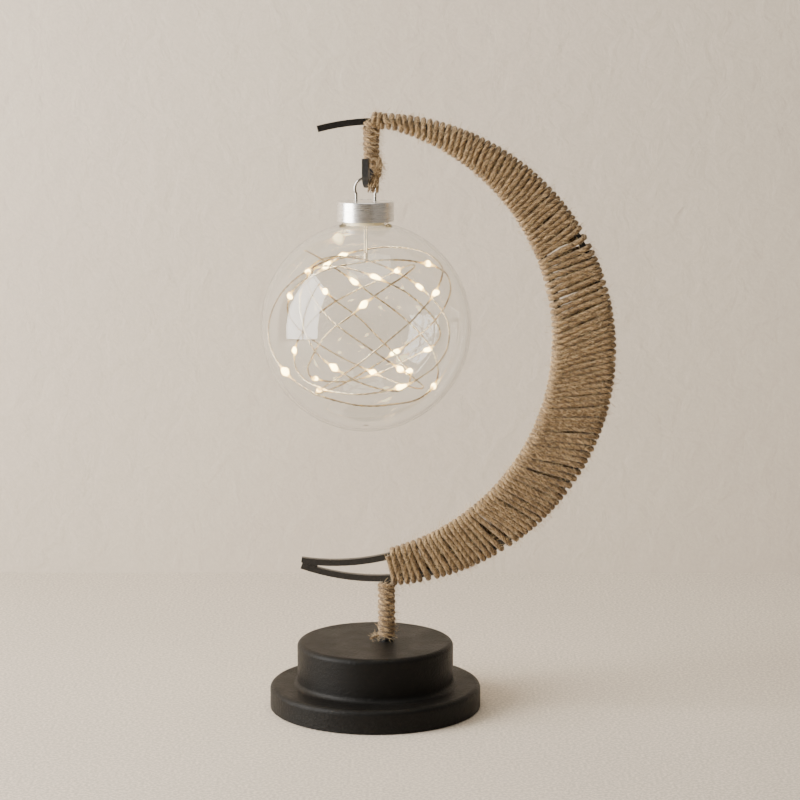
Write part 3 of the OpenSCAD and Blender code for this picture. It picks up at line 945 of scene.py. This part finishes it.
def add_fibres(source, count, length, seed, material):
    """Grows stray fibres on a finished cord and returns them as a plain mesh."""
    area = sum(face.area for face in source.data.polygons)
    holder = bpy.data.objects.new(source.name + "_hairs", source.data.copy())
    bpy.context.scene.collection.objects.link(holder)
    tree = fibre_tree()
    modifier = holder.modifiers.new("Stray Fibres", "NODES")
    modifier.node_group = tree
    wanted = {
        "Density": count / area,
        "Length": length * MM,
        "Thickness": 0.055 * MM,
        "Seed": seed,
        "Material": material,
    }
    for item in tree.interface.items_tree:
        if item.in_out == "INPUT" and item.name in wanted:
            modifier[item.identifier] = wanted[item.name]
    depsgraph = bpy.context.evaluated_depsgraph_get()
    finished = bpy.data.meshes.new_from_object(holder.evaluated_get(depsgraph))
    holder.modifiers.clear()
    old = holder.data
    holder.data = finished
    bpy.data.meshes.remove(old)
    return holder


class LAMP_OT_stray_fibres(bpy.types.Operator):
    """Grows the jute's stray fibres on every length of cord"""

    bl_idname = "lamp.stray_fibres"
    bl_label = "Stray Fibres"

    def execute(self, context):
        cord = context.scene.lamp_cord
        material = hair_material("Jute Fibres", cord.light)
        amounts = {
            "hook_cord": 0.22, "hook_tail": 0.05, "stem_cord": 0.16, "hook_fray": 0.05, "stem_fray": 0.01,
        }
        lengths = {f"crescent_cord_{k}": 1.0 for k in range(1, 5)}
        for seed, (name, share) in enumerate({**lengths, **amounts}.items()):
            source = bpy.data.objects[name]
            count = max(10, int(cord.hairs * share))
            hairs = add_fibres(source, count, 2.9, 100 + seed, material)
            settle(hairs, "stand", material)
        return {"FINISHED"}


# ---------------------------------------------------------------- glass and lights

# Light wire: sizes in millimetres and angles in degrees, as in the CAD wire
LIGHT_TURNS = 6
FIRST_REACH = 33.0
FIRST_DROP = 30
DROP_STEP = 90
TURN_DRIFT = 0.38
TURN_LEAN = 52.0
WIRE_CLEARANCE = 3.45

# How the visual wire strays from that rule, and the lay of its two strands
STRAY_FAR = 3.4
STRAY_NEAR = 0.3
STRAY_LIMIT = 3.6
WIRE_LAY = 7.0
# GLOW_REACH is how far from a lit drop the painted light on the wire reaches, mm.
GLOW_REACH = 4.2


def light_place(angle, last_reach):
    """Where the light wire is after turning through this many degrees, from the globe's middle.

    This is the rule that the CAD wire follows: turns that lean, drift round and grow outwards.
    """
    turn = np.radians(np.asarray(angle, float))
    lean = np.radians(TURN_LEAN + (90 - TURN_LEAN) * np.exp(-np.asarray(angle, float) / 90))
    across = -np.sin(turn)
    deep = np.cos(turn) * np.cos(lean)
    high = np.cos(turn) * np.sin(lean)
    drift = TURN_DRIFT * turn
    reach = FIRST_REACH + (last_reach - FIRST_REACH) * np.asarray(angle, float) / (360 * LIGHT_TURNS)
    return reach[..., None] * np.stack([
        np.cos(drift) * across - np.sin(drift) * deep,
        np.sin(drift) * across + np.cos(drift) * deep,
        high,
    ], axis=-1)


GLASS_WALL = 1.5
NECK_RADIUS = 10.6


def globe_centre_radius():
    low, high = box_mm("glass_globe")
    radius = (high[0] - low[0]) / 2
    return np.array([(low[0] + high[0]) / 2, (low[1] + high[1]) / 2, low[2] + radius]), radius, high[2]


def lathe(profile, sides=160):
    """A closed body of revolution about Z from (radius, height) places in millimetres."""
    angle = 2 * np.pi * np.arange(sides) / sides
    profile = np.array(profile, float)
    points = np.stack([
        np.outer(profile[:, 0], np.cos(angle)),
        np.outer(profile[:, 0], np.sin(angle)),
        np.repeat(profile[:, 1][:, None], sides, axis=1),
    ], axis=-1).reshape(-1, 3)
    faces = []
    for i in range(len(profile)):
        j = (i + 1) % len(profile)
        for k in range(sides):
            m = (k + 1) % sides
            faces.append((i * sides + k, i * sides + m, j * sides + m, j * sides + k))
    return points, faces


class LAMP_OT_globe(bpy.types.Operator):
    """Blows the clear globe with its short neck"""

    bl_idname = "lamp.globe"
    bl_label = "Glass Globe"

    def execute(self, context):
        centre, radius, neck_top = globe_centre_radius()
        wall = GLASS_WALL
        neck = NECK_RADIUS
        top = neck_top - centre[2]

        def side(ball, bore, flare, steps):
            """Outline from the bottom to the neck's rim, with a rounded shoulder."""
            blend_at = math.asin((bore + flare) / ball)
            angles = np.linspace(0.004, math.pi - blend_at, steps)
            out = [(ball * math.sin(a), -ball * math.cos(a)) for a in angles]
            foot = out[-1]
            for t in np.linspace(0.2, 1.0, 5):
                x = (1 - t) ** 2 * foot[0] + 2 * t * (1 - t) * bore + t * t * bore
                z = (1 - t) ** 2 * foot[1] + 2 * t * (1 - t) * (foot[1] + 0.5) + t * t * (foot[1] + 2.2)
                out.append((x, z))
            out.append((bore, top))
            return out

        outer = side(radius, neck, 1.8, 90)
        inner = side(radius - wall, neck - wall, 1.8, 90)
        profile = outer + inner[::-1]
        points, faces = lathe(profile)
        obj = write_mesh("globe_glass", points + centre, faces)
        mesh = bmesh.new()
        mesh.from_mesh(obj.data)
        bmesh.ops.remove_doubles(mesh, verts=mesh.verts, dist=1e-6)
        bmesh.ops.recalc_face_normals(mesh, faces=mesh.faces)
        mesh.to_mesh(obj.data)
        mesh.free()
        settle(obj, "globe", glass_material("Clear Glass"), ("glass_globe",))
        return {"FINISHED"}


def drop_mesh(centre, along, radius, seed):
    """One resin drop, longer along the wire, as points, faces and how near each point is to its chip."""
    rng = np.random.default_rng(seed)
    rings = 12
    sides = 12
    along = along / np.linalg.norm(along)
    side = np.cross(along, (0.2, 0.5, 0.8))
    side /= np.linalg.norm(side)
    up = np.cross(along, side)
    length = radius * rng.uniform(1.9, 2.5)
    points = []
    core = []
    for i in range(rings + 1):
        t = -1 + 2 * i / rings
        swell = 0.14 + 0.86 * max(0.0, 1 - abs(t) ** 1.5) ** 0.9
        wide = radius * swell * (1 + 0.22 * math.sin(3 * t + seed))
        lean = radius * 0.22 * math.sin(2.3 * t + 1.7 * seed) * side
        for k in range(sides):
            a = 2 * math.pi * k / sides
            lump = 1 + 0.16 * math.cos(2 * a + seed) + 0.10 * math.sin(3 * a + 2 * t)
            out = math.cos(a) * side + math.sin(a) * up
            points.append(centre + along * t * length + lean + wide * lump * out)
            core.append(max(0.0, 1 - abs(t) * 1.3))
    faces = ring_faces(rings + 1, sides).tolist()
    faces.append(list(range(sides))[::-1])
    faces.append([rings * sides + k for k in range(sides)])
    return points, faces, core


class LAMP_OT_lights(bpy.types.Operator):
    """Threads the twisted light wire through the globe and sets the lit drops on it"""

    bl_idname = "lamp.lights"
    bl_label = "Lights"

    def execute(self, context):
        light = context.scene.lamp_light
        centre, radius, _ = globe_centre_radius()
        angle = np.arange(0.0, 360.0 * LIGHT_TURNS + 1.0, 1.0)
        line = light_place(angle, radius - WIRE_CLEARANCE)
        loose = np.stack([wander(angle, 55.0, 300 + k) for k in range(3)], axis=1)
        kink = np.stack([wander(angle, 8.0, 310 + k) for k in range(3)], axis=1)
        settled = np.minimum(1.0, angle / 40.0)[:, None]
        line = smooth_line(line + settled * (STRAY_FAR * loose + STRAY_NEAR * kink), 2)
        far = np.linalg.norm(line, axis=1)
        line *= np.minimum(1.0, (radius - STRAY_LIMIT) / np.maximum(far, 1e-6))[:, None]
        drops_at = range(FIRST_DROP, 360 * LIGHT_TURNS, DROP_STEP)
        beads = [(line[k], line[k + 2] - line[k - 2]) for k in drops_at]
        path, run = even_path(line, 0.6)
        _, side, up = carried_frames(path)
        turn = 2 * np.pi * run / WIRE_LAY
        lit_at = np.array([at for at, _ in beads])
        gap = np.min(np.linalg.norm(path[:, None, :] - lit_at[None, :, :], axis=2), axis=1)
        # near_light is 1 beside each lit drop; the wire's material paints the drops' light on it there.
        near_light = np.exp(-(gap / GLOW_REACH) ** 2)
        halves = []
        for k in (0, 1):
            angle = (turn + k * np.pi)[:, None]
            offset = light.wire_radius * 1.05 * (np.cos(angle) * side + np.sin(angle) * up)
            half = plain_tube(f"light_wire_{k}", path + offset + centre, light.wire_radius, 5)
            put_attribute(half, "near_light", "FLOAT", np.repeat(near_light, 5))
            halves.append(half)
        wire = joined("light_wire", halves)
        settle(wire, "globe", wire_material("Light Wire", light.glow), ("fairy_wire",))
        points = []
        faces = []
        core = []
        for k, (at, along) in enumerate(beads):
            got = drop_mesh(at + centre, along, light.bead_radius, k)
            faces += [[v + len(points) for v in face] for face in got[1]]
            points += got[0]
            core += got[2]
        drops = write_mesh("light_drops", points, faces)
        put_attribute(drops, "core", "FLOAT", core)
        glow = glow_material("Lit Drop", (*light.glow, 1.0), light.strength)
        settle(drops, "globe", glow, ("fairy_beads",))
        return {"FINISHED"}


def plain_tube(name, path, radius, sides):
    _, side, up = carried_frames(path)
    angle = 2 * np.pi * np.arange(sides) / sides
    ring = path[:, None, :] + radius * (
        np.cos(angle)[None, :, None] * side[:, None, :] + np.sin(angle)[None, :, None] * up[:, None, :]
    )
    faces = ring_faces(len(path), sides).tolist()
    faces.append(list(range(sides))[::-1])
    faces.append([(len(path) - 1) * sides + k for k in range(sides)])
    return write_mesh(name, ring.reshape(-1, 3), faces)


def wire_material(name, glow=None):
    """Thin lacquered wire, copper under a silver flash; glow is the colour of the painted light from the lit
    drops, given off by the wire where it runs beside one.
    """
    material, shade, surface = new_material(name, Metallic=1.0, Roughness=0.27)
    place = shade.add("ShaderNodeTexCoord").outputs["Object"]
    patch = shade.noise(place, 60.0, 3.0, 0.6)
    tone = shade.mix(shade.span(patch, 0.35, 0.65), (0.36, 0.25, 0.12), (0.90, 0.80, 0.58))
    shade.link(tone, surface.inputs["Base Color"])
    if glow is not None:
        # Painted light: the wire glows in the drops' colour where it runs beside a lit drop.
        near = shade.add("ShaderNodeAttribute", attribute_name="near_light").outputs["Fac"]
        painted_drop_light = shade.mix(shade.span(near, 0.05, 1.0), (0.0, 0.0, 0.0), tuple(glow)[:3])
        shade.link(painted_drop_light, surface.inputs["Emission Color"])
        surface.inputs["Emission Strength"].default_value = 7.0
    return material


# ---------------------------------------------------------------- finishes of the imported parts


class LAMP_OT_base_finish(bpy.types.Operator):
    """Coats the base and its hidden parts"""

    bl_idname = "lamp.base_finish"
    bl_label = "Base Finish"

    def execute(self, context):
        metal = context.scene.lamp_metal
        dress("base_shell", coat_material("Black Powder Coat", metal.coat, 1.3, 0.30, 0.45, 0.02, 0.08, 0.14))
        dress("felt_pad", felt_material("Charcoal Felt"))
        dress("base_cover", metal_material("Zinc Sheet", (0.55, 0.55, 0.54), 0.38))
        screws = metal_material("Zinc Fasteners", (0.62, 0.62, 0.60), 0.30)
        for node in ("cover_screws", "stem_washer", "stem_nut"):
            dress(node, screws)
        dress("ballast", coat_material("Cast Iron", (0.09, 0.09, 0.095), 0.8, 0.25, 0.6, 0.1, 0.3))
        return {"FINISHED"}


class LAMP_OT_bar_finish(bpy.types.Operator):
    """Lacquers the stem, the bows and the hook"""

    bl_idname = "lamp.bar_finish"
    bl_label = "Bar Finish"

    def execute(self, context):
        metal = context.scene.lamp_metal
        lacquer = coat_material("Black Lacquer", metal.lacquer, 0.6, 0.015, 0.30, 0.05, 0.10)
        for node in ("stem_rod", "outer_bow", "inner_bow", "horn_weld", "hook_bar"):
            dress(node, lacquer)
        return {"FINISHED"}


class LAMP_OT_cap_finish(bpy.types.Operator):
    """Finishes the bail, the cap and the parts in it"""

    bl_idname = "lamp.cap_finish"
    bl_label = "Cap Finish"

    def execute(self, context):
        metal = context.scene.lamp_metal
        dress("bail", metal_material("Polished Wire", metal.wire, 0.22, relief=0.0))
        satin = metal_material("Satin Cap", metal.cap, 0.26, 60.0, (1.0, 1.0, 25.0), relief=0.0)
        dress("cap_shell", satin)
        cream = plastic_material("Cream Plastic", (0.78, 0.68, 0.46), 0.35)
        for node in ("neck_liner", "battery_holder", "holder_lid"):
            dress(node, cream)
        dress("coin_cells", metal_material("Cell Cans", (0.75, 0.75, 0.74), 0.22))
        dress("contact_plates", metal_material("Contact Brass", (0.80, 0.60, 0.28), 0.28))
        dress("switch_body", plastic_material("Black Plastic", (0.03, 0.03, 0.03), 0.40))
        dress("switch_knob", plastic_material("White Plastic", (0.80, 0.80, 0.77), 0.35))
        dress("splice_tube", plastic_material("Clear Sleeve", (0.52, 0.44, 0.30), 0.25))
        dress("lead_wires", wire_material("Lead Wire"))
        return {"FINISHED"}


# ---------------------------------------------------------------- stage


# Room in millimetres; camera place in metres, lens in millimetres and tilt in degrees
WALL_BEHIND = 282.0
ROOM_HALF = 3000.0
ROOM_SHARE = 0.44
CAMERA_LENS = 108.73
CAMERA_PLACE = (0.0120, -1.1402, 0.3318)
CAMERA_TILT = 80.96


def stage_surface(name, points, faces, material):
    obj = write_mesh(name, points, faces)
    obj.data.materials.append(material)
    return obj


def room_material(name, colour, relief, speckle=0.0):
    """Painted wall or floor with soft trowel marks and fine specks, clear from behind."""
    material, shade, surface = new_material(name, Roughness=0.75)
    surface.inputs["Specular IOR Level"].default_value = 0.25
    place = shade.add("ShaderNodeTexCoord").outputs["Object"]
    cloud = shade.noise(place, 9.0, 4.0, 0.55)
    trowel = shade.noise(place, 70.0, 4.0, 0.55, Distortion=0.6)
    fine = shade.noise(place, 700.0, 2.0, 0.6)
    tone = shade.mix(shade.span(cloud, 0.3, 0.7), [c * 0.955 for c in colour], colour)
    specks = shade.mix(shade.span(fine, 0.42, 0.62), [1.0 - speckle] * 3, [1.0 + speckle * 0.6] * 3)
    shade.link(shade.mix(1.0, tone, specks, "MULTIPLY"), surface.inputs["Base Color"])
    put_bump(shade, surface, trowel, 0.5, relief)
    behind = shade.add("ShaderNodeNewGeometry").outputs["Backfacing"]
    clear = shade.add("ShaderNodeBsdfTransparent")
    either = shade.add("ShaderNodeMixShader")
    shade.link(behind, either.inputs[0])
    shade.link(surface.outputs[0], either.inputs[1])
    shade.link(clear.outputs[0], either.inputs[2])
    shade.link(either.outputs[0], material.node_tree.nodes["Material Output"].inputs["Surface"])
    return material


def soft_lamp(name, place, look_at, size, power, colour, spread=180.0):
    """An area light of that size in metres, aimed at a place."""
    data = bpy.data.lights.new(name, "AREA")
    data.shape = "RECTANGLE"
    data.size, data.size_y = size
    data.energy = power
    data.color = colour
    data.spread = math.radians(spread)
    obj = bpy.data.objects.new(name, data)
    aim = Vector(look_at) - Vector(place)
    obj.matrix_world = Matrix.Translation(place) @ aim.to_track_quat("-Z", "Y").to_matrix().to_4x4()
    bpy.context.scene.collection.objects.link(obj)
    return obj


class LAMP_OT_stage(bpy.types.Operator):
    """Sets the lamp on a pale floor by a pale wall, in soft daylight"""

    bl_idname = "lamp.stage"
    bl_label = "Stage"

    def execute(self, context):
        stage = context.scene.lamp_stage
        wall_y = WALL_BEHIND
        wide = ROOM_HALF
        paint = room_material("Wall Paint", stage.wall, 1.4, 0.03)
        flat = room_material("Floor Paint", stage.floor, 0.28, 0.20)
        stage_surface(
            "floor", [(-wide, -wide, 0), (wide, -wide, 0), (wide, wall_y, 0), (-wide, wall_y, 0)],
            [(0, 1, 2, 3)], flat,
        )
        stage_surface(
            "wall", [(-wide, wall_y, 0), (wide, wall_y, 0), (wide, wall_y, 2600), (-wide, wall_y, 2600)],
            [(0, 1, 2, 3)], paint,
        )
        board = room_material("Dark Board", (0.05, 0.040, 0.030), 0.0)
        room = stage_surface(
            "dark_room", [(-900, -1800, 0), (900, -1800, 0), (900, -1800, 1500), (-900, -1800, 1500)],
            [(3, 2, 1, 0)], board,
        )
        room.visible_camera = False
        for pane, middle in (("left", -0.56), ("right", -0.14)):
            soft_lamp(
                f"window_{pane}", (-0.97, middle, 0.60), (0.0, middle, 0.60), (0.38, 1.14), stage.key,
                (1.0, 0.97, 0.93),
            )
        soft_lamp(
            "room_light", (0.1, -0.4, 1.9), (0.05, 0.0, 0.0), (1.2, 1.0), stage.key * ROOM_SHARE,
            (1.0, 0.95, 0.87),
        )
        world = bpy.data.worlds.new("Room")
        world.use_nodes = True
        back = world.node_tree.nodes["Background"]
        back.inputs["Color"].default_value = (1.0, 0.955, 0.90, 1.0)
        back.inputs["Strength"].default_value = stage.fill
        context.scene.world = world
        camera_data = bpy.data.cameras.new("camera")
        camera_data.lens = CAMERA_LENS
        camera_data.sensor_width = 36.0
        camera_data.clip_end = 20.0
        camera = bpy.data.objects.new("camera", camera_data)
        camera.location = CAMERA_PLACE
        camera.rotation_euler = (math.radians(CAMERA_TILT), 0.0, 0.0)
        context.scene.collection.objects.link(camera)
        context.scene.camera = camera
        return {"FINISHED"}


# ---------------------------------------------------------------- panel and registration


OPERATORS = (
    LAMP_OT_base_finish,
    LAMP_OT_bar_finish,
    LAMP_OT_crescent_cord,
    LAMP_OT_hook_cord,
    LAMP_OT_stem_cord,
    LAMP_OT_stray_fibres,
    LAMP_OT_cap_finish,
    LAMP_OT_globe,
    LAMP_OT_lights,
    LAMP_OT_stage,
)
SETTINGS = {
    "lamp_cord": LampCordSettings,
    "lamp_metal": LampMetalSettings,
    "lamp_light": LampLightSettings,
    "lamp_stage": LampStageSettings,
}


class LAMP_PT_panel(bpy.types.Panel):
    """The lamp's settings and the buttons that build it"""

    bl_idname = "LAMP_PT_panel"
    bl_label = "Crescent Lamp"
    bl_space_type = "VIEW_3D"
    bl_region_type = "UI"
    bl_category = "Lamp"

    def draw(self, context):
        layout = self.layout
        for name, kind in SETTINGS.items():
            group = getattr(context.scene, name)
            for label in kind.__annotations__:
                layout.prop(group, label)
        for operator in OPERATORS:
            layout.operator(operator.bl_idname)


def register():
    for kind in (*SETTINGS.values(), *OPERATORS, LAMP_PT_panel):
        bpy.utils.register_class(kind)
    for name, kind in SETTINGS.items():
        setattr(bpy.types.Scene, name, bpy.props.PointerProperty(type=kind))


def unregister():
    for name in SETTINGS:
        delattr(bpy.types.Scene, name)
    for kind in reversed((*SETTINGS.values(), *OPERATORS, LAMP_PT_panel)):
        bpy.utils.unregister_class(kind)


def main():
    register()
    for operator in OPERATORS:
        name = operator.bl_idname.split(".")[1]
        getattr(bpy.ops.lamp, name)()
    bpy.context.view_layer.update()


if __name__ == "__main__":
    main()
